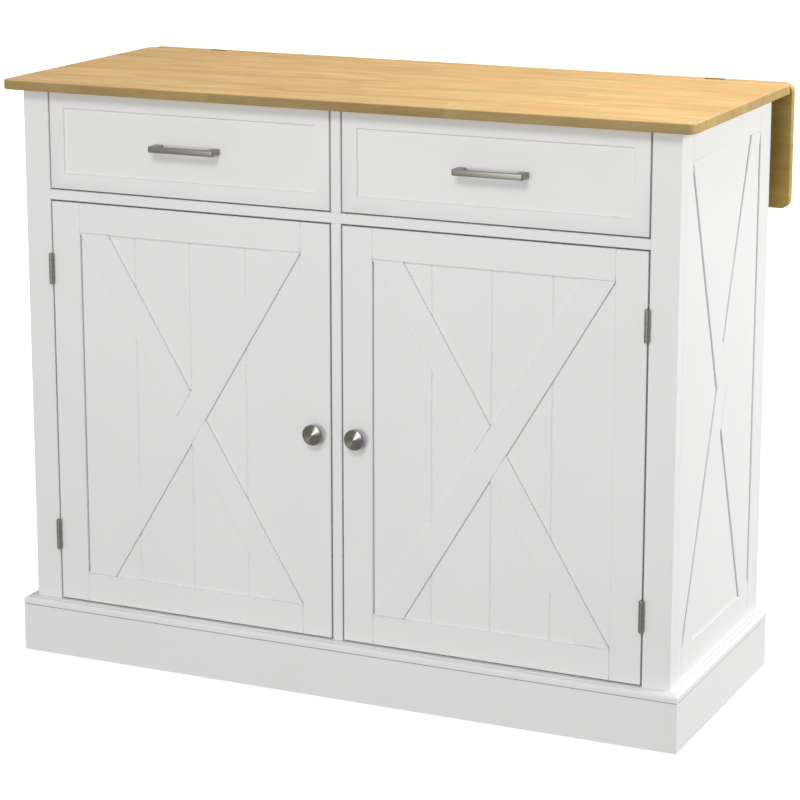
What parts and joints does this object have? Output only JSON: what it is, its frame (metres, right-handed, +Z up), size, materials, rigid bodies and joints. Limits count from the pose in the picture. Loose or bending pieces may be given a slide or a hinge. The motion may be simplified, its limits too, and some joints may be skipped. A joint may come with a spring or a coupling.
{
  "type": "drop leaf kitchen island",
  "caption": "Painted kitchen island with a wood worktop, a hinged drop leaf at the back, drawers over X-braced plank doors, shelves and a moulded plinth.",
  "frame": {"origin": "on the floor, at the middle of the whole outline with the leaf hanging", "axes": "+Z up, -Y towards the drawers and doors, +X to the right seen from the front"},
  "size_m": [1.11, 0.473, 0.914],
  "materials": {
    "white_paint": "satin white paint on fibreboard",
    "wood_top": "lacquered rubberwood",
    "brushed_nickel": "brushed",
    "zinc_steel": "zinc plated",
    "bare_birch": "bare birch and fibreboard"
  },
  "bodies": {
    "cabinet": {"worktop": "wood_top", "face_mid_rail": "white_paint", "face_centre_stile_upper": "white_paint", "face_centre_stile_lower": "white_paint", "centre_divider": "white_paint", "bottom_board": "white_paint", "back_panel": "white_paint", "front_stretcher": "white_paint", "back_stretcher": "white_paint", "plinth_front": "white_paint", "plinth_back": "white_paint", "plinth_right": "white_paint", "plinth_left": "white_paint", "face_stile_left": "white_paint", "side_board_left": "white_paint", "side_frame_left": "white_paint", "shelf_left": "white_paint", "runner_outer_left": "bare_birch", "runner_inner_left": "bare_birch", "top_hinge_left": "zinc_steel", "bracket_leg_left": "zinc_steel", "hinge_frame_left_lower": "brushed_nickel", "hinge_frame_left_upper": "brushed_nickel", "face_stile_right": "white_paint", "side_board_right": "white_paint", "side_frame_right": "white_paint", "shelf_right": "white_paint", "runner_outer_right": "bare_birch", "runner_inner_right": "bare_birch", "top_hinge_right": "zinc_steel", "bracket_leg_right": "zinc_steel", "hinge_frame_right_lower": "brushed_nickel", "hinge_frame_right_upper": "brushed_nickel"},
    "drop_leaf": {"leaf_board": "wood_top", "leaf_hinge_left": "zinc_steel", "bracket_arm_left": "zinc_steel", "leaf_hinge_right": "zinc_steel", "bracket_arm_right": "zinc_steel"},
    "strut_left": {"bracket_strut_left": "zinc_steel"},
    "door_left": {"door_frame_left": "white_paint", "door_panel_left": "white_paint", "door_brace_left": "white_paint", "knob_left": "brushed_nickel", "hinge_door_left_lower": "brushed_nickel", "hinge_door_left_upper": "brushed_nickel"},
    "drawer_left": {"drawer_front_left": "white_paint", "drawer_box_left": "bare_birch", "drawer_bottom_left": "bare_birch", "pull_left": "brushed_nickel"},
    "strut_right": {"bracket_strut_right": "zinc_steel"},
    "door_right": {"door_frame_right": "white_paint", "door_panel_right": "white_paint", "door_brace_right": "white_paint", "knob_right": "brushed_nickel", "hinge_door_right_lower": "brushed_nickel", "hinge_door_right_upper": "brushed_nickel"},
    "drawer_right": {"drawer_front_right": "white_paint", "drawer_box_right": "bare_birch", "drawer_bottom_right": "bare_birch", "pull_right": "brushed_nickel"}
  },
  "joints": [
    {"name": "door_left_hinge", "type": "hinge", "parent": "cabinet", "child": "door_left", "pos_m": [-0.48575, -0.21675, 0.4], "axis": [0, 0, -1], "range_deg": [0, 165]},
    {"name": "door_right_hinge", "type": "hinge", "parent": "cabinet", "child": "door_right", "pos_m": [0.48575, -0.21675, 0.4], "axis": [0, 0, 1], "range_deg": [0, 165]},
    {"name": "drawer_left_slide", "type": "slide", "parent": "cabinet", "child": "drawer_left", "axis": [0, -1, 0], "range_m": [0, 0.28]},
    {"name": "drawer_right_slide", "type": "slide", "parent": "cabinet", "child": "drawer_right", "axis": [0, -1, 0], "range_m": [0, 0.28]},
    {"name": "leaf_hinge", "type": "hinge", "parent": "cabinet", "child": "drop_leaf", "pos_m": [0, 0.22975, 0.90725], "axis": [1, 0, 0], "range_deg": [0, 90]},
    {"name": "strut_left_fold", "type": "hinge", "parent": "cabinet", "child": "strut_left", "pos_m": [-0.27, 0.2055, 0.842], "axis": [1, 0, 0], "range_deg": [0, 114.26]},
    {"name": "strut_right_fold", "type": "hinge", "parent": "cabinet", "child": "strut_right", "pos_m": [0.27, 0.2055, 0.842], "axis": [1, 0, 0], "range_deg": [0, 114.26]}
  ],
  "couplings": [
    {"joint": "strut_left_fold", "follows": "leaf_hinge", "ratio": 1.2695},
    {"joint": "strut_right_fold", "follows": "leaf_hinge", "ratio": 1.2695}
  ]
}
